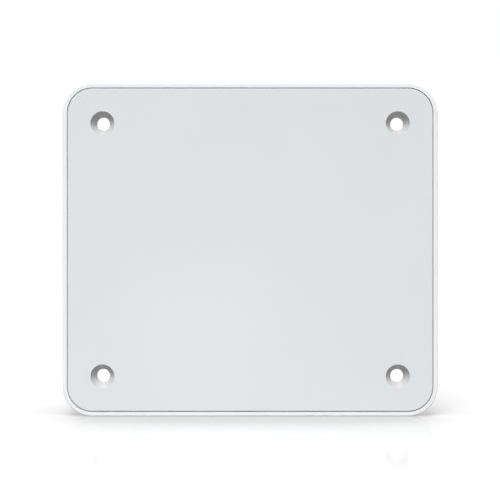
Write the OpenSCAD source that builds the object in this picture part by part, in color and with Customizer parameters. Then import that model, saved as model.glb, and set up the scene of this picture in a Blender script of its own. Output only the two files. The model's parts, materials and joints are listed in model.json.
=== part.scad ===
// Flush ceiling access point: a thin screw-on flange with an inset front panel, and a shallow
// finned housing behind it that sits in the ceiling cut-out.
// +X is the face's right, +Z its top, and +Y points into the ceiling. The origin is the centre of
// the ceiling screw pattern, on the back of the flange. Sizes are in millimetres.

/* [Face] */
// Width of the trim frame, left to right
face_w = 160; // [156:1:200]
// Height of the trim frame, bottom to top
face_h = 142; // [138:1:180]
// Radius of the trim frame's corners
face_r = 12.6; // [9:0.2:16]
// Radius that rounds the trim frame's front edge
edge_r = 0.4; // [0.3:0.1:1.6]
// Width of the rim, from the outer edge to the seam
rim_w = 1.8; // [1.7:0.1:4]
// Width of the seam between the rim and the front panel
seam_w = 0.4; // [0.2:0.05:0.8]
// Depth of the seam, down to the step on the panel's edge
seam_d = 0.6; // [0.4:0.1:1.2]
// Thickness of the front panel
panel_t = 3.3; // [3.2:0.1:5]
// Radius that rounds the panel's front edge
panel_edge_r = 0.2; // [0.1:0.05:0.3]
// Thickness of the tape that bonds the panel
tape_t = 0.3; // [0.1:0.05:0.8]
// Thickness of the web that the panel is bonded to
web_t = 1.4; // [1.2:0.1:3]

/* [Ceiling screws] */
// Distance of each ceiling screw from the flange's edges
screw_inset = 17; // [14:0.5:20]
// Diameter of the clearance holes
screw_d = 5.6; // [4.5:0.1:6]
// Diameter of the countersinks at the face
sink_d = 10.2; // [8:0.1:10.6]
// Depth of the straight lip above each cone
sink_lip = 0.7; // [0.2:0.1:0.7]

/* [Ceiling gasket] */
// Distance of the gasket from the flange's edge
gasket_inset = 4; // [3:0.5:6]
// Width of the gasket
gasket_w = 2.4; // [1.6:0.1:3]
// Thickness of the gasket, which lies flush with the flange's back
gasket_t = 0.7; // [0.4:0.1:0.8]

/* [Housing] */
// How far the flange reaches past the housing at the left and right
flange_side = 14; // [13:0.5:18]
// How far the flange reaches past the housing at the top and bottom
flange_end = 27; // [26:0.5:28]
// Radius of the housing's corners
body_r = 8; // [6:0.5:10]
// Radius that rounds the housing's rear edge
body_edge_r = 2; // [0.5:0.1:2.2]
// Thickness of the housing's walls
wall = 2.4; // [2.2:0.1:3]
// Thickness of the housing's floor
floor_t = 2.5; // [2:0.1:3.5]
// Height of the cooling fins
fin_h = 4; // [2:0.5:8]
// Thickness of each cooling fin
fin_t = 1.6; // [1:0.1:2]
// Spacing of the cooling fins
fin_pitch = 5.2; // [4:0.1:6]
// Number of cooling fins on each side
fin_count = 6; // [3:1:6]
// Length of the cooling fins' gap to the housing's top and bottom
fin_end = 8; // [6:0.5:12]

/* [Housing screws] */
// Diameter of the housing screws
joint_d = 3; // [2.5:0.1:3.2]
// Diameter of their heads
joint_head_d = 5.6; // [5:0.1:5.8]
// Height of their heads
joint_head_h = 2; // [1.5:0.1:2.4]
// Depth of their heads' seats under the housing's back
joint_seat = 5; // [3:0.5:6]
// Distance of the screws from the housing's outer side
joint_inset = 6.8; // [6.6:0.1:7.4]
// Radius of the posts that they pass through
post_r = 4.6; // [4.5:0.1:4.8]
// Radius of the frame's bosses that they screw into
boss_r = 3.2; // [3:0.1:3.4]
// Height of the frame's bosses behind the flange
boss_h = 9; // [8:0.5:10]
// Outer diameter of the threaded inserts
insert_d = 4.2; // [4:0.1:4.6]
// Length of the threaded inserts
insert_l = 5; // [3:0.5:5.5]

/* [Antennas] */
// Gap between the panel's back and the antennas
antenna_gap = 0.9; // [0.5:0.1:2]
// Height of the antennas above the ground plate
antenna_h = 3.2; // [2.4:0.1:5]
// Thickness of the antennas' sheet
antenna_t = 0.4; // [0.2:0.05:0.5]
// Side of the low-band antennas
low_band = 30; // [26:1:32]
// Side of the high-band antennas
high_band = 20; // [16:1:21]
// Distance of the antennas from the centre line
antenna_x = 27; // [26:0.5:29]
// Thickness of the ground plate
plate_t = 1; // [0.8:0.1:1.5]
// Gap between the ground plate and the board
plate_gap = 2.2; // [2:0.1:4]

/* [Board] */
// Thickness of the circuit board
board_t = 1.6; // [1.2:0.1:2.4]
// Clearance from the board's ends to the frame's bosses
board_gap = 0.6; // [0.3:0.1:1]
// Clearance from the board's long edges to the housing's walls
board_side = 2.6; // [1.5:0.1:3]
// Diameter of the board screws
board_screw_d = 2.5; // [2:0.1:2.6]
// Inset of the board screws from the board's edges
board_screw_inset = 4.5; // [4:0.1:5]
// Radius of the standoffs under the board
standoff_r = 3; // [2.6:0.1:3.2]

/* [Network jack] */
// Width of the jack
jack_w = 16; // [15:0.1:17]
// Height of the jack above the board
jack_h = 13.5; // [12.5:0.1:16.5]
// Length of the jack
jack_l = 21.3; // [18:0.1:22]
// Width of the socket
socket_w = 11.9; // [11.8:0.1:12.2]
// Height of the socket
socket_h = 6.8; // [6.7:0.1:7]
// Depth of the socket
socket_l = 12.7; // [12:0.1:14]

/* [Port bay] */
// Width of the bay
bay_w = 40; // [36:0.5:40]
// Length of the bay in front of the jack
bay_l = 31; // [28:0.5:31]
// Thickness of the bay's walls
bay_wall = 1.4; // [1.2:0.1:1.5]
// Thickness of the port cover
cover_t = 2; // [1.6:0.1:2.1]
// Radius of the cover's hinge barrel
barrel_r = 2.2; // [2.1:0.1:2.8]
// Diameter of the hinge pin
pin_d = 2; // [1.6:0.1:2.2]
// Width of the cover's cable notch
notch_w = 9; // [7:0.5:10]
// Length of the cover's cable notch
notch_l = 8; // [7:0.5:10]
// Diameter of the reset button
button_d = 3; // [2.4:0.1:3.2]
// Travel of the reset button
button_travel = 0.5; // [0.3:0.05:0.6]

/* [Clearances] */
// Clearance around pieces that are only set in place
fit = 0.2; // [0.1:0.05:0.3]
// Gap around the moving port cover
swing_gap = 0.4; // [0.3:0.05:0.5]
// Radial running clearance of pins and buttons
run_gap = 0.06; // [0.03:0.01:0.1]

/* [Hidden] */
$fn = 64;

// How far a cut runs past the face that it opens
over = 1;
signs = [-1, 1];

// Depths, from the face at the front to the fins at the back
flange_t = panel_t + tape_t + web_t;
face_y = -flange_t;
panel_y = face_y + panel_t;
web_y = -web_t;
antenna_y = panel_y + antenna_gap;
plate_y = antenna_y + antenna_h;
plate_back = plate_y + plate_t;
board_y = plate_back + plate_gap;
board_back = board_y + board_t;
bay_gap = 0.8;
bay_y = board_back + bay_gap;
bay_floor = bay_y + bay_wall;
jack_top = board_back + jack_h;
trough_gap = 0.3;
trough_t = 1.2;
trough_floor = jack_top + trough_gap + trough_t;
hinge_y = trough_floor + swing_gap + barrel_r;
back_y = hinge_y + barrel_r;
floor_y = back_y - floor_t;
fin_y = back_y + fin_h;

// Seal between the flange and the housing's rim, and the side clearance of every pressed-in ring
seal_w = 1;
seal_t = 0.8;
ring_gap = 0.05;

// Locating lip behind the web, inside the housing's walls
lip_t = 1.2;
lip_h = 3;

// Groove round the housing in the flange's back, between its seat and the face on the ceiling
relief_w = 0.5;
relief_d = 0.4;

// Outlines seen from the front
body_w = face_w - 2 * flange_side;
body_h = face_h - 2 * flange_end;
room_w = body_w - 2 * wall;
room_h = body_h - 2 * wall;
room_r = body_r - wall;
screw_x = face_w / 2 - screw_inset;
screw_z = face_h / 2 - screw_inset;
joint_x = body_w / 2 - joint_inset;
joint_z = body_h / 2 - joint_inset;
board_w = 2 * (joint_x - boss_r - board_gap);
board_h = room_h - 2 * board_side;
board_r = 2;
plate_inset = 3;
opening_edge = 1;
opening_lip = 3.4;
board_grip = 5;
board_screw_x = board_w / 2 - board_screw_inset;
board_screw_z = board_h / 2 - board_screw_inset;
plate_w = board_w - 2 * plate_inset;
plate_h = board_h - 2 * plate_inset - 2;
plate_screw_inset = 6;
plate_screw_r = 1;
plate_screw_head = 1.2;
spacer_r = 2.2;
spacer_stub_r = 1.4;
plate_screw_x = plate_w / 2 - plate_screw_inset;
plate_screw_z = plate_h / 2 - plate_screw_inset;
opening_w = 2 * (joint_x - boss_r - opening_edge);
opening_h = room_h - 2 * (fit + lip_t + opening_lip);
opening_r = 5;

// Port bay, from the housing's bottom wall up to the jack
bay_low = -room_h / 2 + fit + bay_wall;
bay_top = bay_low + bay_l;
bay_out_w = bay_w + 2 * bay_wall;
hinge_out = 1.5;
trough_reach = 1.55;
hinge_z = bay_top + hinge_out;
trough_top = hinge_z + trough_reach * barrel_r;
bay_flange = 2;
bay_flange_t = 1.2;
bay_seal_t = 0.6;
ledge_w = 8;
ledge_t = 1.3;
ledge_l = 1.6;
ledge_gap = 0.3;
cover_w = bay_w - 2 * swing_gap;

// Jack, with its mouth in the bay's end wall
jack_z = bay_top;
jack_shield_t = 0.3;
socket_low = board_back + 3;
wire_t = 0.4;
wire_l = 9;
wire_slot = 0.05;
latch_w = 6.4;
latch_h = 1.8;
latch_l = 6;
contact_count = 8;
contact_pitch = 1.02;
light_w = 2.4;
light_h = 2;
light_l = 4;
light_x = 5.9;
light_y = jack_top - 2.2;

// Reset button beside the jack
button_x = jack_w / 2 + 6.5;
button_y = board_back + 5;
collar_t = 0.8;
collar_z = bay_top + bay_wall + fit;
plunger_d = 2.4;
switch_z = collar_z + collar_t + 1.6;
switch_w = 6;
switch_l = 3.6;
switch_h = 7.5;
plunger_in = 0.7;

// Status light, on the centre line below the high-band antennas' middle
light_z = -plate_h / 2 + 7;
guide_r = 2;
guide_collar_r = 3;
guide_collar_t = 0.8;
guide_skin = 0.9;
led_h = 1;

// Radio shields on the board's front
shield_x = antenna_x;
shield_z = -2;
shield_w = 30;
shield_l = 22;
shield_sheet = 0.2;
shield_pad_t = 0.5;
shield_y = plate_back + shield_pad_t;

// Antenna centres and feeds
low_z = 12;
high_z = -plate_h / 2 + 15;
low_feed = 7;
high_feed = 3;
feed_r = 0.5;
feed_gap = 0.8;

// Processor's heat path to the housing's floor
processor_x = -34;
processor_z = 14;
processor_side = 17;
processor_t = 1.4;
processor_pad_t = 0.6;
pedestal_side = 20;

// Memory below the processor, flash chip above it, and network chip beside it
memory_drop = 20;
flash_rise = 16;
network_chip_x = -15;
network_chip_z = 25;
small_chip_t = 0.9;

// Power transformer: a core with two windows, and a coil round its middle leg
transformer_x = 33;
transformer_z = 22;
transformer_w = 16;
transformer_d = 10;
transformer_h = 9.5;
transformer_leg = 4.2;
transformer_base = 2;

// Power stage below the transformer: inductors, then capacitors
power_x = 29;
power_pitch = 9;
power_count = 3;
inductor_z = 4;
capacitor_z = -9;
power_chip_z = -24;

// Tether bracket and ground screw on the housing's back
bracket_w = 18;
bracket_t = 1.5;
bracket_low = 16;
bracket_top = 32;
bracket_r = 2.5;
tether_tab_w = 13;
tether_hole_r = 2.6;
tab_end = 5;
tether_y = back_y + bracket_t + 4.3;
ground_z = 22;
ground_r = 2;
ground_boss_h = 4.5;

// ---- shared shapes ----

// Flat outline drawn in X and Z, as thick as y0 to y1
module slab(y0, y1) {
    rotate([90, 0, 0]) translate([0, 0, -y1]) linear_extrude(y1 - y0) children();
}

// Round bar along Y
module rod(y0, y1, r, r2 = undef) {
    translate([0, y1, 0]) rotate([90, 0, 0]) cylinder(h = y1 - y0, r1 = is_undef(r2) ? r : r2, r2 = r);
}

// Rectangle with round corners
module rounded(w, h, r) {
    square([w - 2 * r, h], center = true);
    square([w, h - 2 * r], center = true);
    for (x = signs, z = signs) {
        translate([x * (w / 2 - r), z * (h / 2 - r)]) circle(r);
    }
}

// Flat ring between two rounded rectangles
module ring(w, h, r, width) {
    difference() {
        rounded(w, h, r);
        rounded(w - 2 * width, h - 2 * width, max(r - width, 0.5));
    }
}

// Box of the given size, standing on the board's face from y0 to y1, centred at x, z
module chip(x, z, w, l, y0, y1) {
    translate([x - w / 2, y0, z - l / 2]) cube([w, y1 - y0, l]);
}

// Section through a plate's edge: r deep, t thick, rounded by f at its front
module edge_section(r, f, t) {
    square([r - f, t]);
    square([r, t - f]);
    translate([r - f, t - f]) circle(f);
}

// Plate with round corners and a rounded front edge, lying on z = 0
module soft_block(w, h, r, f, t) {
    x = w / 2 - r;
    z = h / 2 - r;
    translate([-x, -z, 0]) cube([2 * x, 2 * z, t]);
    for (turn = [0, 180]) rotate(turn) {
        translate([-x, z, 0]) rotate([90, 0, 90]) linear_extrude(2 * x) edge_section(r, f, t);
        translate([x, z, 0]) rotate([90, 0, 0]) linear_extrude(2 * z) edge_section(r, f, t);
        translate([x, z, 0]) rotate_extrude(angle = 90) edge_section(r, f, t);
        translate([-x, z, 0]) rotate(90) rotate_extrude(angle = 90) edge_section(r, f, t);
    }
}

// The same plate standing in the face's plane, with its rounded edge at y_front
module front_block(w, h, r, f, y_front, y_back) {
    translate([0, y_back, 0]) rotate([90, 0, 0]) soft_block(w, h, r, f, y_back - y_front);
}

// ... and with its rounded edge at y_back
module back_block(w, h, r, f, y_front, y_back) {
    translate([0, y_front, 0]) rotate([-90, 0, 0]) soft_block(w, h, r, f, y_back - y_front);
}

// Places its children at the four corners of a rectangle
module corners(x, z) {
    for (sx = signs, sz = signs) {
        translate([sx * x, 0, sz * z]) children();
    }
}

// Places its children at the housing screws: three down each side
module joints() {
    for (sx = signs, row = [-1, 0, 1]) {
        translate([sx * joint_x, 0, row * joint_z]) children();
    }
}

// Places its children at the board screws: the corners and the middle of the top edge
module board_fixings() {
    corners(board_screw_x, board_screw_z) children();
    translate([0, 0, board_screw_z]) children();
}

// Cross-shaped drive recess, cut along Y
module cross_recess(y0, y1, r) {
    for (turn = [0, 90]) {
        rotate([0, turn, 0]) translate([-r, y0, -r / 5]) cube([2 * r, y1 - y0, 2 * r / 5]);
    }
}

// ---- face ----

module trim_frame() {
    color("white")
    difference() {
        union() {
            front_block(face_w, face_h, face_r, edge_r, face_y, 0);
            slab(-web_t / 2, lip_h) ring(room_w - 2 * fit, room_h - 2 * fit, room_r - fit, lip_t);
            joints() rod(-web_t / 2, boss_h, boss_r);
        }
        slab(face_y - over, web_y)
            rounded(face_w - 2 * rim_w, face_h - 2 * rim_w, face_r - rim_w);
        slab(web_y - over, lip_h + over) rounded(opening_w, opening_h, opening_r);
        corners(screw_x, screw_z) rod(web_y - over, over, screw_d / 2);
        gasket_groove();
        relief_groove();
        joints() rod(boss_h - insert_l, boss_h + over, insert_d / 2);
        joints() rod(boss_h - insert_l - over, boss_h, joint_d / 2 + fit);
    }
}

module gasket_ring(grow) {
    ring(
        face_w - 2 * gasket_inset + 2 * grow,
        face_h - 2 * gasket_inset + 2 * grow,
        face_r - gasket_inset + grow,
        gasket_w + 2 * grow
    );
}

module gasket_groove() {
    slab(-gasket_t, over) gasket_ring(ring_gap);
}

module relief_groove() {
    slab(-relief_d, over)
        ring(body_w + 2 * relief_w, body_h + 2 * relief_w, body_r + relief_w, relief_w);
}

module ceiling_gasket() {
    color("dimgray")
    slab(-gasket_t, 0) gasket_ring(0);
}

module front_panel() {
    panel_w = face_w - 2 * (rim_w + seam_w);
    panel_h = face_h - 2 * (rim_w + seam_w);
    panel_r = face_r - rim_w - seam_w;
    step = seam_w - fit / 2;
    color("gainsboro")
    difference() {
        union() {
            front_block(panel_w, panel_h, panel_r, panel_edge_r, face_y, panel_y);
            slab(face_y + seam_d, panel_y)
                rounded(panel_w + 2 * step, panel_h + 2 * step, panel_r + step);
        }
        corners(screw_x, screw_z) countersink();
        translate([0, 0, light_z]) rod(face_y + guide_skin, panel_y + over, guide_r + fit);
    }
}

// Straight lip, 90-degree cone and hole of one ceiling screw, a little wider than the web's hole
module countersink() {
    hole_r = screw_d / 2 + fit;
    cone_y = face_y + sink_lip;
    cone_h = sink_d / 2 - hole_r;
    rod(face_y - over, cone_y, sink_d / 2);
    rod(cone_y, cone_y + cone_h, sink_d / 2, hole_r);
    rod(cone_y + cone_h / 2, panel_y + over, hole_r);
}

module panel_tape() {
    margin = 1;
    color("lightgray")
    slab(panel_y, web_y)
    difference() {
        rounded(
            face_w - 2 * (rim_w + margin), face_h - 2 * (rim_w + margin), face_r - rim_w - margin
        );
        rounded(opening_w + 2 * margin, opening_h + 2 * margin, opening_r + margin);
        for (x = signs, z = signs) {
            translate([x * screw_x, z * screw_z]) circle(sink_d / 2);
        }
    }
}

// ---- housing ----

module seal_ring(grow) {
    side = (wall - seal_w) / 2;
    ring(
        body_w - 2 * side + 2 * grow, body_h - 2 * side + 2 * grow, body_r - side + grow,
        seal_w + 2 * grow
    );
}

module housing_seal() {
    color("darkslategray")
    slab(0, seal_t) seal_ring(0);
}

module rear_housing() {
    color("silver")
    difference() {
        union() {
            housing_shell();
            joints() rod(boss_h, floor_y + over, post_r);
            board_fixings() rod(board_back, floor_y + over, standoff_r);
            processor_pedestal();
            translate([0, 0, ground_z])
                rod(floor_y - ground_boss_h, floor_y + over, 2 * ground_r + 0.5);
            fins();
        }
        slab(-over, seal_t) seal_ring(ring_gap);
        joints() rod(boss_h - over, back_y, joint_d / 2 + fit);
        joints() rod(back_y - joint_seat, fin_y + over, joint_head_d / 2 + fit);
        board_fixings() rod(board_back - over, board_back + board_grip + 1, board_screw_d / 2);
        translate([0, 0, ground_z])
            rod(floor_y - ground_boss_h + 0.5, back_y + over, ground_r);
        bay_window();
    }
}

module housing_shell() {
    difference() {
        back_block(body_w, body_h, body_r, body_edge_r, 0, back_y);
        slab(-over, floor_y) rounded(room_w, room_h, room_r);
    }
}

module processor_pedestal() {
    y = board_back + processor_t + processor_pad_t;
    chip(processor_x, processor_z, pedestal_side, pedestal_side, y, floor_y + over);
}

// Cooling fins in two rows of full-height ribs, clear of the middle and of the housing screws
module fins() {
    first = bay_out_w / 2 + bay_flange + fin_pitch / 2;
    fin_z = body_h / 2 - fin_end;
    for (side = signs, i = [0 : fin_count - 1]) {
        translate([side * (first + i * fin_pitch), 0, 0]) fin(fin_z);
    }
}

module fin(fin_z) {
    slab(back_y - 1, fin_y) square([fin_t, 2 * fin_z - fin_t], center = true);
    for (z = signs) {
        translate([0, 0, z * (fin_z - fin_t / 2)]) rod(back_y - 1, fin_y, fin_t / 2);
    }
}

module bay_window() {
    low = bay_low - bay_wall - fit;
    high = trough_top + trough_t + fit;
    translate([-bay_out_w / 2 - fit, floor_y - over, low])
        cube([bay_out_w + 2 * fit, floor_t + 2 * over, high - low]);
}

module frame_inserts() {
    color("goldenrod")
    joints() difference() {
        rod(boss_h - insert_l, boss_h, insert_d / 2);
        rod(boss_h - insert_l - over, boss_h + over, joint_d / 2);
    }
}

module housing_screws() {
    seat_y = back_y - joint_seat;
    color("dimgray")
    joints() difference() {
        union() {
            rod(boss_h - insert_l - 0.5, seat_y, joint_d / 2);
            rod(seat_y, seat_y + joint_head_h, joint_head_d / 2);
        }
        cross_recess(seat_y + joint_head_h / 2, seat_y + joint_head_h + over, joint_head_d / 4);
    }
}

// ---- antennas ----

module antenna_plate() {
    color("lightsteelblue")
    difference() {
        slab(plate_y, plate_back) rounded(plate_w, plate_h, 3);
        corners(plate_screw_x, plate_screw_z)
            rod(plate_y - over, plate_back + over, plate_screw_r + fit);
        translate([0, 0, light_z]) rod(plate_y - over, plate_back + over, guide_r + fit);
        feeds() rod(plate_y - over, plate_back + over, feed_r + feed_gap);
    }
}

module feeds() {
    for (side = signs) {
        translate([side * antenna_x, 0, low_z + low_feed]) children();
        translate([side * antenna_x, 0, high_z + high_feed]) children();
    }
}

module plate_spacers() {
    color("goldenrod")
    corners(plate_screw_x, plate_screw_z) difference() {
        union() {
            rod(plate_back, board_y, spacer_r);
            rod(board_y, board_back, spacer_stub_r);
        }
        rod(plate_back - over, board_back + over, plate_screw_r);
    }
}

module plate_screws() {
    color("silver")
    corners(plate_screw_x, plate_screw_z) difference() {
        union() {
            rod(plate_y - plate_screw_head, plate_y, 1.9 * plate_screw_r);
            rod(plate_y, board_back - 0.3, plate_screw_r);
        }
        cross_recess(plate_y - plate_screw_head - over, plate_y - 0.6, plate_screw_r);
    }
}

// Patch antenna: a slotted square sheet on two folded legs
module antenna(side) {
    leg_w = 3;
    slot_w = 1.2;
    slot_l = side * 0.6;
    difference() {
        slab(antenna_y, antenna_y + antenna_t) square(side, center = true);
        for (x = signs) {
            chip(
                x * side / 4, 0, slot_w, slot_l, antenna_y - over, antenna_y + antenna_t + over
            );
        }
    }
    for (x = signs) {
        chip(
            x * (side - antenna_t) / 2, 0, antenna_t, leg_w, antenna_y + antenna_t / 2, plate_y
        );
    }
}

module low_band_antenna_left() {
    color("peru") translate([-antenna_x, 0, low_z]) antenna(low_band);
}

module low_band_antenna_right() {
    color("peru") translate([antenna_x, 0, low_z]) antenna(low_band);
}

module high_band_antenna_left() {
    color("peru") translate([-antenna_x, 0, high_z]) antenna(high_band);
}

module high_band_antenna_right() {
    color("peru") translate([antenna_x, 0, high_z]) antenna(high_band);
}

module feed_pins() {
    color("gold") feeds() rod(antenna_y + antenna_t, board_y, feed_r);
}

// ---- board ----

module main_board() {
    color("darkgreen")
    difference() {
        slab(board_y, board_back) rounded(board_w, board_h, board_r);
        board_fixings() rod(board_y - over, board_back + over, board_screw_d / 2 + fit);
        corners(plate_screw_x, plate_screw_z) rod(board_y - over, board_back + over, spacer_stub_r);
    }
}

module board_screws() {
    head_r = 2.3;
    head_h = 1.3;
    color("silver")
    board_fixings() difference() {
        union() {
            rod(board_y - head_h, board_y, head_r);
            rod(board_y, board_back + board_grip, board_screw_d / 2);
        }
        cross_recess(board_y - head_h - over, board_y - head_h / 2, 1.2);
    }
}

// Fence of one radio shield, soldered to the board
module shield_frame(side) {
    frame_t = 0.4;
    slab(shield_y + shield_sheet, board_y)
    translate([side * shield_x, shield_z]) difference() {
        square([shield_w, shield_l], center = true);
        square([shield_w - 2 * frame_t, shield_l - 2 * frame_t], center = true);
    }
}

// Lid of one radio shield, with its edge folded down round the fence
module shield_lid(side) {
    grow = shield_sheet + 0.05;
    skirt = 0.8;
    difference() {
        chip(
            side * shield_x, shield_z, shield_w + 2 * grow, shield_l + 2 * grow, shield_y,
            shield_y + shield_sheet + skirt
        );
        chip(
            side * shield_x, shield_z, shield_w + 0.1, shield_l + 0.1, shield_y + shield_sheet,
            board_y
        );
    }
}

module left_shield_frame() {
    color("lightgray") shield_frame(-1);
}

module right_shield_frame() {
    color("lightgray") shield_frame(1);
}

module left_shield_lid() {
    color("silver") shield_lid(-1);
}

module right_shield_lid() {
    color("silver") shield_lid(1);
}

module shield_pads() {
    pad_side = 14;
    color("lightpink")
    for (side = signs) {
        chip(side * shield_x, shield_z, pad_side, pad_side, plate_back, shield_y);
    }
}

module radio_chip(side) {
    radio_side = 10;
    radio_t = 1;
    x = side * (shield_x + radio_side / 2);
    chip(x, shield_z, radio_side, radio_side, board_y - radio_t, board_y);
}

module left_radio_chip() {
    color("dimgray") radio_chip(-1);
}

module right_radio_chip() {
    color("dimgray") radio_chip(1);
}

module amplifier_chips() {
    amplifier_side = 4;
    amplifier_t = 0.8;
    spacing = 10;
    x = shield_x - 2 * amplifier_side;
    color("dimgray")
    for (side = signs, row = signs) {
        chip(
            side * x, shield_z + row * spacing / 2, amplifier_side, amplifier_side,
            board_y - amplifier_t, board_y
        );
    }
}

module processor() {
    color("dimgray")
    chip(
        processor_x, processor_z, processor_side, processor_side, board_back,
        board_back + processor_t
    );
}

module processor_pad() {
    y = board_back + processor_t;
    color("lightpink")
    chip(processor_x, processor_z, processor_side, processor_side, y, y + processor_pad_t);
}

module memory_chips() {
    memory_w = 9;
    memory_l = 13;
    memory_t = 1.1;
    spacing = 14;
    color("dimgray")
    for (side = signs) {
        chip(
            processor_x + side * spacing / 2, processor_z - memory_drop, memory_w, memory_l,
            board_back, board_back + memory_t
        );
    }
}

module flash_chip() {
    flash_w = 8;
    flash_l = 6;
    color("dimgray")
    chip(
        processor_x, processor_z + flash_rise, flash_w, flash_l, board_back,
        board_back + small_chip_t
    );
}

module network_chip() {
    network_side = 7;
    color("dimgray")
    chip(
        network_chip_x, network_chip_z, network_side, network_side, board_back,
        board_back + small_chip_t
    );
}

module power_chip() {
    power_side = 6;
    color("dimgray")
    chip(
        power_x + power_pitch, power_chip_z, power_side, power_side, board_back,
        board_back + small_chip_t
    );
}

module transformer_core() {
    window_w = 3.6;
    color("black")
    difference() {
        chip(
            transformer_x, transformer_z, transformer_w, transformer_d, board_back,
            board_back + transformer_h
        );
        for (side = signs) {
            chip(
                transformer_x + side * (transformer_leg + window_w) / 2, transformer_z, window_w,
                transformer_d + 2 * over, board_back + transformer_base,
                board_back + transformer_h - transformer_base
            );
        }
    }
}

module transformer_coil() {
    gap = 0.1;
    coil_w = 3.2;
    color("khaki")
    slab(board_back + transformer_base + gap, board_back + transformer_h - transformer_base - gap)
    translate([transformer_x, transformer_z]) difference() {
        rounded(transformer_leg + 2 * coil_w, transformer_d + 2 * coil_w, coil_w / 2);
        square([transformer_leg + 2 * gap, transformer_d + 2 * gap], center = true);
    }
}

module line_transformer() {
    line_w = 15;
    line_l = 8;
    line_h = 6;
    color("black") chip(0, jack_z + jack_l + line_l, line_w, line_l, board_back, board_back + line_h);
}

module inductors() {
    inductor_side = 7;
    inductor_h = 4;
    color("slategray")
    for (i = [0 : power_count - 1]) {
        chip(
            power_x + power_pitch * i, inductor_z, inductor_side, inductor_side, board_back,
            board_back + inductor_h
        );
    }
}

module capacitors() {
    can_r = 3.2;
    can_h = 8;
    base_h = 1;
    color("lightsteelblue")
    for (i = [0 : power_count - 1]) {
        translate([power_x + power_pitch * i, 0, capacitor_z]) {
            chip(0, 0, 2 * can_r, 2 * can_r, board_back, board_back + base_h);
            rod(board_back + base_h / 2, board_back + can_h, can_r);
        }
    }
}

module crystals() {
    crystal_w = 3.2;
    crystal_l = 2.5;
    crystal_t = 0.8;
    spacing = 6;
    x = processor_x + 14;
    z = processor_z - 4;
    color("silver")
    for (row = signs) {
        chip(x, z + row * spacing / 2, crystal_w, crystal_l, board_back, board_back + crystal_t);
    }
}

// Two rows of small capacitors: below the processor, and above the power chip
module chip_capacitors() {
    long = 1.6;
    short = 0.8;
    processor_row = [processor_x - 13, processor_z - 10.5];
    processor_step = 3;
    power_row = [power_x - 3, power_chip_z + 6];
    power_step = 2.6;
    top = board_back + short;
    color("tan")
    for (i = [0 : 9]) {
        chip(processor_row.x + processor_step * i, processor_row.y, long, short, board_back, top);
        chip(power_row.x + power_step * i, power_row.y, short, long, board_back, top);
    }
}

module status_led() {
    led_w = 3.2;
    led_l = 1.6;
    color("ivory") chip(0, light_z, led_w, led_l, board_y - led_h, board_y);
}

module light_guide() {
    color("aliceblue")
    translate([0, 0, light_z]) {
        rod(face_y + guide_skin + fit, board_y - led_h - 0.3, guide_r);
        rod(plate_y - guide_collar_t, plate_y, guide_collar_r);
    }
}

// ---- network jack ----

module jack_body() {
    mouth_z = jack_z + jack_shield_t;
    color("black")
    difference() {
        translate([-jack_w / 2 + jack_shield_t, board_back, mouth_z])
            cube([
                jack_w - 2 * jack_shield_t, jack_h - jack_shield_t, jack_l - 2 * jack_shield_t
            ]);
        translate([-socket_w / 2, socket_low, mouth_z - over])
            cube([socket_w, socket_h, socket_l + over]);
        translate([-latch_w / 2, socket_low, mouth_z - over])
            cube([latch_w, socket_h + latch_h, latch_l + over]);
        contacts(wire_slot);
        for (side = signs) {
            translate([side * light_x - light_w / 2, light_y - light_h / 2, mouth_z - over])
                cube([light_w, light_h, light_l + over]);
        }
    }
}

// Eight contact wires, each with a leg down to the board
module contacts(grow) {
    leg_z = jack_z + jack_shield_t + socket_l + 1;
    for (i = [0 : contact_count - 1]) {
        x = (i - (contact_count - 1) / 2) * contact_pitch;
        translate([x - wire_t / 2 - grow, socket_low, leg_z - wire_l])
            cube([wire_t + 2 * grow, wire_t + grow, wire_l + wire_t + grow]);
        translate([x - wire_t / 2 - grow, board_back, leg_z - grow])
            cube([wire_t + 2 * grow, socket_low + wire_t - board_back, wire_t + 2 * grow]);
    }
}

module jack_contacts() {
    color("gold") contacts(0);
}

module jack_shield() {
    t = jack_shield_t;
    color("silver")
    difference() {
        translate([-jack_w / 2, board_back, jack_z]) cube([jack_w, jack_h, jack_l]);
        translate([-jack_w / 2 + t, board_back - over, jack_z + t])
            cube([jack_w - 2 * t, jack_h - t + over, jack_l - 2 * t]);
        translate([-socket_w / 2, socket_low, jack_z - over])
            cube([socket_w, socket_h, t + 2 * over]);
        translate([-latch_w / 2, socket_low, jack_z - over])
            cube([latch_w, socket_h + latch_h, t + 2 * over]);
        for (side = signs) {
            translate([side * light_x - light_w / 2, light_y - light_h / 2, jack_z - over])
                cube([light_w, light_h, t + 2 * over]);
        }
    }
}

module jack_lights() {
    color("lightyellow")
    for (side = signs) {
        translate([side * light_x - light_w / 2, light_y - light_h / 2, jack_z])
            cube([light_w, light_h, light_l + jack_shield_t]);
    }
}

// ---- port bay ----

module port_bay() {
    color("darkgray") {
        bay_shell();
        cover_ledges();
    }
}

module bay_shell() {
    difference() {
        union() {
            bay_block(bay_low - bay_wall, bay_top + bay_wall, bay_y, back_y, 0);
            bay_block(bay_top, trough_top + trough_t, trough_floor - trough_t, back_y, 0);
            bay_block(
                bay_low - bay_wall, trough_top + trough_t + bay_flange,
                floor_y - bay_seal_t - bay_flange_t, floor_y - bay_seal_t, bay_flange
            );
        }
        bay_block(bay_low, bay_top, bay_floor, back_y + over, -bay_wall);
        bay_block(bay_top - over, trough_top, trough_floor, back_y + over, -bay_wall);
        jack_window();
        translate([button_x, button_y, bay_top - over])
            cylinder(h = bay_wall + 2 * over, r = button_d / 2 + run_gap);
        pin_hole(bay_out_w + 2 * over, pin_d / 2);
    }
}

// Box across the bay from z0 to z1, as wide as the bay's outside plus grow on each side
module bay_block(z0, z1, y0, y1, grow) {
    w = bay_out_w + 2 * grow;
    translate([-w / 2, y0, z0]) cube([w, y1 - y0, z1 - z0]);
}

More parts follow.
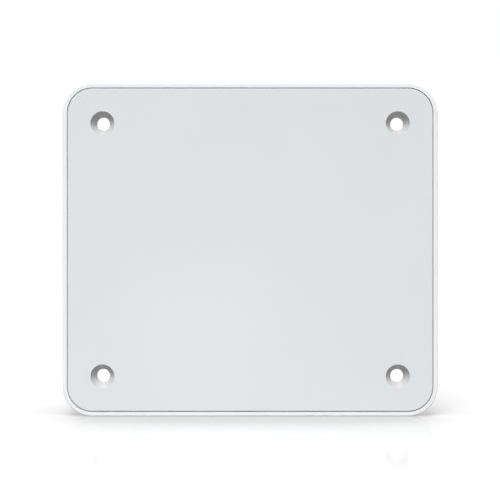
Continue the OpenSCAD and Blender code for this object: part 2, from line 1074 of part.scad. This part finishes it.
module jack_window() {
    translate([-jack_w / 2 - fit, board_back - over, bay_top - over])
        cube([jack_w + 2 * fit, jack_h + fit + over, bay_wall + 2 * over]);
}

// Ledges in the lower corners, which the closed cover comes to rest just clear of
module cover_ledges() {
    top = back_y - cover_t - ledge_gap;
    for (side = signs) {
        translate([side * (bay_w - ledge_w) / 2 - ledge_w / 2, top - ledge_t, bay_low])
            cube([ledge_w, ledge_t, ledge_l]);
    }
}

module pin_hole(length, r) {
    translate([-length / 2, hinge_y, hinge_z]) rotate([0, 90, 0]) cylinder(h = length, r = r);
}

module bay_seal() {
    color("dimgray")
    difference() {
        bay_block(
            bay_low - bay_wall, trough_top + trough_t + bay_flange, floor_y - bay_seal_t, floor_y,
            bay_flange
        );
        bay_block(
            bay_low - bay_wall - over, trough_top + trough_t + fit, floor_y - bay_seal_t - over,
            floor_y + over, fit
        );
    }
}

module port_cover() {
    edge_z = bay_low + swing_gap;
    color("lightgray")
    difference() {
        union() {
            translate([-cover_w / 2, back_y - cover_t, edge_z])
                cube([cover_w, cover_t, hinge_z - edge_z]);
            pin_hole(cover_w, barrel_r);
        }
        pin_hole(cover_w + 2 * over, pin_d / 2 + run_gap);
        cable_notch(edge_z);
        nail_scoop(edge_z);
    }
}

// Round-ended notch in the cover's free edge, where the network cable leaves
module cable_notch(edge_z) {
    end_z = edge_z + notch_l - notch_w / 2;
    slab(back_y - cover_t - over, back_y + over) {
        translate([-notch_w / 2, edge_z - over]) square([notch_w, end_z - edge_z + over]);
        translate([0, end_z]) circle(notch_w / 2);
    }
}

// Shallow scoop for a fingernail, beside the notch
module nail_scoop(edge_z) {
    scoop_r = 6;
    scoop_w = 8;
    scoop_x = 12;
    scoop_d = 0.8;
    for (side = signs) {
        translate([side * scoop_x - scoop_w / 2, back_y + scoop_r - scoop_d, edge_z + 3])
            rotate([0, 90, 0]) cylinder(h = scoop_w, r = scoop_r);
    }
}

module hinge_pin() {
    color("silver") pin_hole(bay_out_w, pin_d / 2);
}

module reset_button() {
    color("dimgray")
    translate([button_x, button_y, 0]) {
        translate([0, 0, bay_top]) cylinder(h = collar_z - bay_top + collar_t, d = button_d);
        translate([0, 0, collar_z]) cylinder(h = collar_t, d = button_d + 1.6);
    }
}

module switch_plunger() {
    start = collar_z + collar_t;
    color("ivory")
    translate([button_x, button_y, start]) cylinder(h = switch_z - start + plunger_in, d = plunger_d);
}

module reset_switch() {
    color("black")
    difference() {
        translate([button_x - switch_w / 2, board_back, switch_z])
            cube([switch_w, switch_h, switch_l]);
        translate([button_x, button_y, switch_z - over])
            cylinder(h = over + plunger_in + button_travel + fit, r = plunger_d / 2 + run_gap);
    }
}

// ---- on the housing's back ----

// Angle bracket: a plate on the housing's back, and a round-ended tab with the tether's eye
module tether_bracket() {
    tab_r = tether_tab_w / 2;
    color("silver")
    difference() {
        union() {
            slab(back_y, back_y + bracket_t)
            translate([0, (bracket_low + bracket_top) / 2])
                rounded(bracket_w, bracket_top - bracket_low, bracket_r);
            translate([-tab_r, back_y, bracket_top - bracket_t])
                cube([tether_tab_w, tether_y - back_y, bracket_t]);
            translate([0, tether_y, bracket_top - bracket_t]) intersection() {
                cylinder(h = bracket_t, r = tab_r);
                translate([-tab_r, 0, 0]) cube([tether_tab_w, tab_end, bracket_t]);
            }
        }
        translate([0, 0, ground_z]) rod(back_y - over, back_y + bracket_t + over, ground_r + fit);
        translate([0, tether_y, bracket_top - bracket_t - over])
            cylinder(h = bracket_t + 2 * over, r = tether_hole_r);
    }
}

module ground_screw() {
    head_y = back_y + bracket_t;
    head_h = 2.4;
    color("seagreen")
    translate([0, 0, ground_z]) difference() {
        union() {
            rod(floor_y - ground_boss_h + 1.5, head_y, ground_r);
            rod(head_y, head_y + head_h, 2 * ground_r);
        }
        cross_recess(head_y + head_h / 2, head_y + head_h + over, ground_r);
    }
}

trim_frame();
front_panel();
panel_tape();
ceiling_gasket();
rear_housing();
housing_seal();
frame_inserts();
housing_screws();
antenna_plate();
plate_spacers();
plate_screws();
low_band_antenna_left();
low_band_antenna_right();
high_band_antenna_left();
high_band_antenna_right();
feed_pins();
main_board();
board_screws();
left_shield_frame();
right_shield_frame();
left_shield_lid();
right_shield_lid();
shield_pads();
left_radio_chip();
right_radio_chip();
amplifier_chips();
processor();
processor_pad();
memory_chips();
flash_chip();
network_chip();
power_chip();
transformer_core();
transformer_coil();
line_transformer();
inductors();
capacitors();
crystals();
chip_capacitors();
status_led();
light_guide();
jack_body();
jack_shield();
jack_contacts();
jack_lights();
port_bay();
bay_seal();
port_cover();
hinge_pin();
reset_button();
switch_plunger();
reset_switch();
tether_bracket();
ground_screw();
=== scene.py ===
import json
import math

import bpy
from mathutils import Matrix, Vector


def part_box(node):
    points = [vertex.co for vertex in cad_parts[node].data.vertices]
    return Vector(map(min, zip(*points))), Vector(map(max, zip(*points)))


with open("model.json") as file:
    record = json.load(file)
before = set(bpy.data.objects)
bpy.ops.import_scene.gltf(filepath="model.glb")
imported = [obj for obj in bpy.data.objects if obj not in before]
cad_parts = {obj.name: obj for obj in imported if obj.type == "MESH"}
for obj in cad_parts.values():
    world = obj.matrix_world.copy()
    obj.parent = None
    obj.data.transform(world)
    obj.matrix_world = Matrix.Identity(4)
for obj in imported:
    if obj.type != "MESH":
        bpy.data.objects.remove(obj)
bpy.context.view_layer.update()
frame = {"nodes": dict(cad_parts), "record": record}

MM = 0.001
WHITE = (1.0, 1.0, 1.0, 1.0)

# ---- the face's own places, from the frame ----

face_low, face_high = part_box("trim_frame")
FLOOR_Z = face_low.z
FACE_MIDDLE = Vector((0, face_low.y, (face_low.z + face_high.z) / 2))


# ---- camera ----

LENS_MM = 85
CAMERA_DISTANCE = 0.5036      # from the front of the rim
CAMERA_OFFSET = Vector((-0.06 * MM, 0, -0.1 * MM))


def make_camera():
    camera = bpy.data.objects.new("camera", bpy.data.cameras.new("camera"))
    bpy.context.scene.collection.objects.link(camera)
    camera.data.lens = LENS_MM
    camera.data.clip_start = 0.01
    camera.location = FACE_MIDDLE + CAMERA_OFFSET + Vector((0, -CAMERA_DISTANCE, 0))
    camera.rotation_euler = (math.pi / 2, 0, 0)
    bpy.context.scene.camera = camera


# ---- node helpers ----


def add(tree, kind, inputs=None, **settings):
    """A new node of that kind, with its inputs set by name."""
    node = tree.nodes.new(kind)
    for key, value in settings.items():
        setattr(node, key, value)
    for key, value in (inputs or {}).items():
        node.inputs[key].default_value = value
    return node


def new_tree(material):
    material.use_nodes = True
    material.node_tree.nodes.clear()
    return material.node_tree


def rgba(colour):
    return (*colour, 1.0)


def noise(tree, size, detail=3.0, roughness=0.5):
    """Noise whose features are about size metres across, fixed to the piece."""
    place = add(tree, "ShaderNodeTexCoord")
    node = add(
        tree, "ShaderNodeTexNoise",
        {"Scale": 1.0 / size, "Detail": detail, "Roughness": roughness},
    )
    tree.links.new(place.outputs["Object"], node.inputs["Vector"])
    return node


def softened(tree, radius):
    """The surface's normal, with edges rounded by that radius."""
    return add(tree, "ShaderNodeBevel", {"Radius": radius}, samples=6).outputs["Normal"]


def edge_mask(tree, edges):
    """1 along the softened edges and 0 on the flats."""
    straight = add(tree, "ShaderNodeNewGeometry").outputs["True Normal"]
    turn = add(tree, "ShaderNodeVectorMath", operation="DOT_PRODUCT")
    mask = add(tree, "ShaderNodeMapRange", {"From Min": 0.985, "From Max": 0.80})
    tree.links.new(edges, turn.inputs[0])
    tree.links.new(straight, turn.inputs[1])
    tree.links.new(turn.outputs["Value"], mask.inputs["Value"])
    return mask.outputs["Result"]


def tinted(tree, fac, low, high, start=0.3, end=0.7):
    """Runs from one colour to the other as fac rises."""
    ramp = add(tree, "ShaderNodeValToRGB")
    ramp.color_ramp.elements[0].position = start
    ramp.color_ramp.elements[1].position = end
    ramp.color_ramp.elements[0].color = rgba(low)
    ramp.color_ramp.elements[1].color = rgba(high)
    tree.links.new(fac, ramp.inputs["Fac"])
    return ramp.outputs["Color"]


def blended(tree, fac, first, second):
    """Mixes two colours: the first where fac is 0, the second where it is 1."""
    mix = add(tree, "ShaderNodeMix", data_type="RGBA")
    tree.links.new(fac, mix.inputs["Factor"])
    tree.links.new(first, mix.inputs[6])
    tree.links.new(second, mix.inputs[7])
    return mix.outputs[2]


def scaled(colour, share):
    return tuple(min(1.0, c * share) for c in colour)


def finish(
    name, colour, roughness, metallic=0.0, vary=0.03, vary_size=8 * MM,
    grain=0.004 * MM, grain_size=0.25 * MM, rough_vary=0.05, specular=0.5, coat=0.0,
    edge=0.0, worn=None,
):
    """A surface with slightly uneven colour and gloss, and a fine moulded or cast grain.

    edge rounds its edges' shading by that radius, and worn is their rubbed colour.
    """
    material = bpy.data.materials.new(name)
    tree = new_tree(material)
    shader = add(
        tree, "ShaderNodeBsdfPrincipled",
        {
            "Metallic": metallic,
            "Specular IOR Level": specular,
            "Coat Weight": coat,
            "Coat Roughness": 0.08,
        },
    )
    output = add(tree, "ShaderNodeOutputMaterial")
    tree.links.new(shader.outputs["BSDF"], output.inputs["Surface"])

    cloud = noise(tree, vary_size)
    tint = tinted(tree, cloud.outputs["Fac"], scaled(colour, 1 - vary), scaled(colour, 1 + vary))
    gloss = add(
        tree, "ShaderNodeMapRange",
        {"To Min": max(0.02, roughness - rough_vary), "To Max": roughness + rough_vary},
    )
    tree.links.new(cloud.outputs["Fac"], gloss.inputs["Value"])
    tree.links.new(gloss.outputs["Result"], shader.inputs["Roughness"])

    fine = noise(tree, grain_size, detail=2.0)
    bump = add(tree, "ShaderNodeBump", {"Strength": 1.0, "Distance": grain})
    tree.links.new(fine.outputs["Fac"], bump.inputs["Height"])
    tree.links.new(bump.outputs["Normal"], shader.inputs["Normal"])
    if edge:
        edges = softened(tree, edge)
        tree.links.new(edges, bump.inputs["Normal"])
        if worn:
            rubbed = add(tree, "ShaderNodeMath", operation="MULTIPLY")
            tree.links.new(edge_mask(tree, edges), rubbed.inputs[0])
            tree.links.new(noise(tree, 3 * MM).outputs["Fac"], rubbed.inputs[1])
            bare = tinted(tree, cloud.outputs["Fac"], scaled(worn, 0.95), worn)
            tint = blended(tree, rubbed.outputs[0], tint, bare)
    tree.links.new(tint, shader.inputs["Base Color"])
    return material


# ---- finishes of the frame's nodes ----

PANEL_SKIN = (0.69, 0.72, 0.742)
# darker neutral grey of the recessed surfaces: the moulding's tone with painted shade
PANEL_RECESS_TONE_AND_SHADE = (0.505, 0.505, 0.502)
SKIN_DEPTH = 0.12 * MM


def moulded_white():
    return finish("moulded_white", (0.80, 0.825, 0.84), 0.38, vary=0.006, vary_size=30 * MM,
                  grain=0.002 * MM, grain_size=0.3 * MM, rough_vary=0.03)


def panel_grey():
    """Satin skin on the panel's front; its sunk holes and edge step get a darker grey: moulding
    tone plus painted shade.
    """
    material = finish("panel_grey", PANEL_SKIN, 0.30, vary=0.006, vary_size=40 * MM,
                      grain=0.0012 * MM, grain_size=0.35 * MM, rough_vary=0.03)
    tree = material.node_tree
    base = tree.nodes["Principled BSDF"].inputs["Base Color"]
    skin = base.links[0].from_socket
    place = add(tree, "ShaderNodeSeparateXYZ")
    # everything behind the front skin gets the darker grey: painted shade in the holes and the edge
    # step
    front = add(tree, "ShaderNodeMath", {1: face_low.y + SKIN_DEPTH}, operation="LESS_THAN")
    cloud = noise(tree, 1.5 * MM)
    recess_tone_and_shade = tinted(tree, cloud.outputs["Fac"], scaled(PANEL_RECESS_TONE_AND_SHADE, 0.97), scaled(PANEL_RECESS_TONE_AND_SHADE, 1.03))
    tree.links.new(add(tree, "ShaderNodeTexCoord").outputs["Object"], place.inputs["Vector"])
    tree.links.new(place.outputs["Y"], front.inputs[0])
    tree.links.new(blended(tree, front.outputs[0], recess_tone_and_shade, skin), base)
    return material


def cast_paint():
    return finish("cast_paint", (0.62, 0.645, 0.665), 0.48, vary=0.02, vary_size=12 * MM,
                  grain=0.025 * MM, grain_size=0.45 * MM, rough_vary=0.08, edge=0.3 * MM,
                  worn=(0.74, 0.76, 0.78))


def foam():
    return finish("foam", (0.035, 0.036, 0.038), 0.9, vary=0.3, vary_size=0.8 * MM,
                  grain=0.12 * MM, grain_size=0.5 * MM)


def silicone():
    return finish("silicone", (0.06, 0.065, 0.07), 0.55, grain=0.01 * MM)


def tape():
    return finish("tape", (0.75, 0.75, 0.74), 0.7, grain=0.02 * MM)


def zinc():
    return finish("zinc", (0.62, 0.62, 0.64), 0.3, metallic=1.0, vary=0.06, vary_size=2 * MM,
                  grain=0.004 * MM, grain_size=0.12 * MM, rough_vary=0.1, edge=0.12 * MM,
                  worn=(0.80, 0.80, 0.81))


def tinned():
    return finish("tinned", (0.68, 0.69, 0.70), 0.24, metallic=1.0, vary=0.04, vary_size=3 * MM,
                  grain=0.002 * MM, grain_size=0.2 * MM, rough_vary=0.08, edge=0.12 * MM)


def brass():
    return finish("brass", (0.70, 0.50, 0.20), 0.3, metallic=1.0, vary=0.08, vary_size=1.5 * MM)


def aluminium():
    return finish("aluminium", (0.72, 0.73, 0.75), 0.35, metallic=1.0, vary=0.03,
                  edge=0.1 * MM)


def gold():
    return finish("gold", (0.86, 0.62, 0.25), 0.2, metallic=1.0, vary=0.05, vary_size=1 * MM)


def laminate():
    return finish("laminate", (0.012, 0.10, 0.045), 0.35, vary=0.25, vary_size=2.5 * MM,
                  grain=0.02 * MM, grain_size=0.6 * MM)


def pad():
    return finish("pad", (0.55, 0.24, 0.30), 0.8, grain=0.05 * MM, grain_size=0.8 * MM)


def epoxy():
    return finish("epoxy", (0.018, 0.018, 0.020), 0.6, vary=0.2, grain=0.02 * MM,
                  edge=0.1 * MM)


def ferrite():
    return finish("ferrite", (0.03, 0.03, 0.033), 0.75, vary=0.2, grain=0.05 * MM)


def coil_tape():
    return finish("coil_tape", (0.62, 0.42, 0.06), 0.35, vary=0.1, grain=0.02 * MM)


def ceramic():
    return finish("ceramic", (0.36, 0.22, 0.12), 0.6, vary=0.1)


def milky():
    return finish("milky", (0.82, 0.84, 0.83), 0.2, vary=0.02, coat=0.3)


def black_nylon():
    return finish("black_nylon", (0.016, 0.016, 0.017), 0.45, vary=0.15, grain=0.015 * MM,
                  edge=0.15 * MM, worn=(0.05, 0.05, 0.052))


def bay_grey():
    return finish("bay_grey", (0.17, 0.18, 0.19), 0.5, vary=0.03, grain=0.02 * MM,
                  grain_size=0.35 * MM, rough_vary=0.06, edge=0.2 * MM,
                  worn=(0.24, 0.25, 0.26))


def green_chromate():
    return finish("green_chromate", (0.03, 0.26, 0.09), 0.3, metallic=0.7, vary=0.12,
                  vary_size=1.5 * MM)


FINISHES = {
    "white_plastic": moulded_white,
    "panel_plastic": panel_grey,
    "cast_housing": cast_paint,
    "foam_rubber": foam,
    "silicone": silicone,
    "tape": tape,
    "zinc_steel": zinc,
    "tinned_steel": tinned,
    "brass": brass,
    "antenna_brass": brass,
    "aluminium_sheet": aluminium,
    "can_aluminium": aluminium,
    "gold_contact": gold,
    "board_laminate": laminate,
    "thermal_pad": pad,
    "chip_black": epoxy,
    "ferrite": ferrite,
    "coil_tape": coil_tape,
    "chip_tan": ceramic,
    "lens_white": milky,
    "black_plastic": black_nylon,
    "button_plastic": black_nylon,
    "bay_plastic": bay_grey,
    "ground_green": green_chromate,
}


def dress_nodes():
    """Gives every CAD node the finish of its material slot."""
    made = {}
    for part in frame["record"]["subparts"]:
        slot = part["material_slot"]
        if slot not in made:
            made[slot] = FINISHES[slot]()
        node = frame["nodes"][part["node"]]
        for place in node.material_slots:
            place.material = made[slot]


# ---- studio ----

AMBIENT = 0.12                # strength of the soft white all round
KEY = {"height": 55, "turn": -10, "strength": 4.19, "spread": 30}
BACK = {"height": 171, "turn": 25, "strength": 2.1, "spread": 40}
CARD_SIZE = 0.06              # bright card low before the face, for its slow gradient
CARD_PLACE = Vector((-0.03, -0.2, -0.06))
CARD_POWER = 0.022
CONTACT_REACH = 70 * MM       # how far the floor's contact shadow reaches
CONTACT_DEPTH = 0.42
CONTACT_DARKEST = 0.33
FLOOR_SIZE = 6.0


def make_world():
    """A white studio: the background shows as plain white, and lights the object softly."""
    world = bpy.data.worlds.new("studio")
    bpy.context.scene.world = world
    world.use_nodes = True
    tree = world.node_tree
    tree.nodes.clear()
    ambient = add(tree, "ShaderNodeBackground", {"Color": WHITE, "Strength": AMBIENT})
    white = add(tree, "ShaderNodeBackground", {"Color": WHITE, "Strength": 1.0})
    mix = add(tree, "ShaderNodeMixShader")
    output = add(tree, "ShaderNodeOutputWorld")
    tree.links.new(seen_directly(tree), mix.inputs["Fac"])
    tree.links.new(ambient.outputs[0], mix.inputs[1])
    tree.links.new(white.outputs[0], mix.inputs[2])
    tree.links.new(mix.outputs[0], output.inputs["Surface"])


def seen_directly(tree):
    """1 for rays that show the background: from the camera, in a gloss or through glass."""
    path = add(tree, "ShaderNodeLightPath")
    first = add(tree, "ShaderNodeMath", operation="MAXIMUM")
    both = add(tree, "ShaderNodeMath", operation="MAXIMUM")
    tree.links.new(path.outputs["Is Camera Ray"], first.inputs[0])
    tree.links.new(path.outputs["Is Glossy Ray"], first.inputs[1])
    tree.links.new(first.outputs[0], both.inputs[0])
    tree.links.new(path.outputs["Is Transmission Ray"], both.inputs[1])
    return both.outputs[0]


def contact_shade(tree):
    """How much the floor darkens where the object stands close over it."""
    near = add(tree, "ShaderNodeAmbientOcclusion", {"Distance": CONTACT_REACH}, samples=8)
    hidden = add(tree, "ShaderNodeMath", {0: 1.0}, operation="SUBTRACT")
    share = add(tree, "ShaderNodeMath", {1: 2.0}, operation="MULTIPLY")
    falloff = add(tree, "ShaderNodeMath", {1: 1.5}, operation="POWER")
    depth = add(tree, "ShaderNodeMath", {1: CONTACT_DEPTH}, operation="MULTIPLY")
    darkest = add(tree, "ShaderNodeMath", {1: CONTACT_DARKEST}, operation="MINIMUM")
    tree.links.new(near.outputs["AO"], hidden.inputs[1])
    tree.links.new(hidden.outputs[0], share.inputs[0])
    tree.links.new(share.outputs[0], falloff.inputs[0])
    tree.links.new(falloff.outputs[0], depth.inputs[0])
    tree.links.new(depth.outputs[0], darkest.inputs[0])
    return darkest.outputs[0]


def floor_material():
    """Pale floor: white to the camera, with a soft shadow and a faint gloss, but a dull bounce."""
    material = bpy.data.materials.new("floor_white")
    tree = new_tree(material)
    bounce = add(tree, "ShaderNodeBsdfDiffuse", {"Color": (0.3, 0.3, 0.3, 1)})
    surface = add(
        tree, "ShaderNodeBsdfPrincipled",
        {"Base Color": (0.9, 0.9, 0.9, 1), "Roughness": 0.09, "Specular IOR Level": 0.3},
    )
    glow = add(tree, "ShaderNodeEmission", {"Color": WHITE, "Strength": 1.0})
    dark = add(tree, "ShaderNodeBsdfDiffuse", {"Color": (0, 0, 0, 1)})
    pale = add(tree, "ShaderNodeMixShader", {0: 0.55})
    shaded = add(tree, "ShaderNodeMixShader")
    mix = add(tree, "ShaderNodeMixShader")
    output = add(tree, "ShaderNodeOutputMaterial")
    tree.links.new(surface.outputs[0], pale.inputs[1])
    tree.links.new(glow.outputs[0], pale.inputs[2])
    tree.links.new(contact_shade(tree), shaded.inputs["Fac"])
    tree.links.new(pale.outputs[0], shaded.inputs[1])
    tree.links.new(dark.outputs[0], shaded.inputs[2])
    tree.links.new(seen_directly(tree), mix.inputs["Fac"])
    tree.links.new(bounce.outputs[0], mix.inputs[1])
    tree.links.new(shaded.outputs[0], mix.inputs[2])
    tree.links.new(mix.outputs[0], output.inputs["Surface"])
    return material


def make_floor():
    half = FLOOR_SIZE / 2
    mesh = bpy.data.meshes.new("floor")
    corners = [
        (side * half, depth * half, FLOOR_Z)
        for side, depth in ((-1, -1), (1, -1), (1, 1), (-1, 1))
    ]
    mesh.from_pydata(corners, [], [(0, 1, 2, 3)])
    floor = bpy.data.objects.new("floor", mesh)
    bpy.context.scene.collection.objects.link(floor)
    mesh.materials.append(floor_material())


def place_lamp(name, light, place, towards):
    """Sets the lamp at place, shining away from the direction towards, and out of sight."""
    holder = bpy.data.objects.new(name, light)
    bpy.context.scene.collection.objects.link(holder)
    holder.location = place
    holder.rotation_euler = towards.to_track_quat("Z", "Y").to_euler()
    holder.visible_camera = False
    return holder


def sun(name, height, turn, strength, spread):
    """A soft sun that many degrees above the face's normal, and turned to its right."""
    light = bpy.data.lights.new(name, "SUN")
    light.energy = strength
    light.angle = math.radians(spread)
    up = math.radians(height)
    side = math.radians(turn)
    towards = Vector((
        math.cos(up) * math.sin(side), -math.cos(up) * math.cos(side), math.sin(up),
    ))
    return place_lamp(name, light, FACE_MIDDLE, towards)


def light_studio():
    sun("key", **KEY)
    sun("back", **BACK).visible_glossy = False
    card = bpy.data.lights.new("card", "AREA")
    card.size = CARD_SIZE
    card.energy = CARD_POWER
    place_lamp("card", card, CARD_PLACE, Vector((0, -1, 0)))


# ---- the scene ----

make_camera()
dress_nodes()
make_world()
make_floor()
light_studio()

bpy.context.scene.view_settings.view_transform = "Standard"
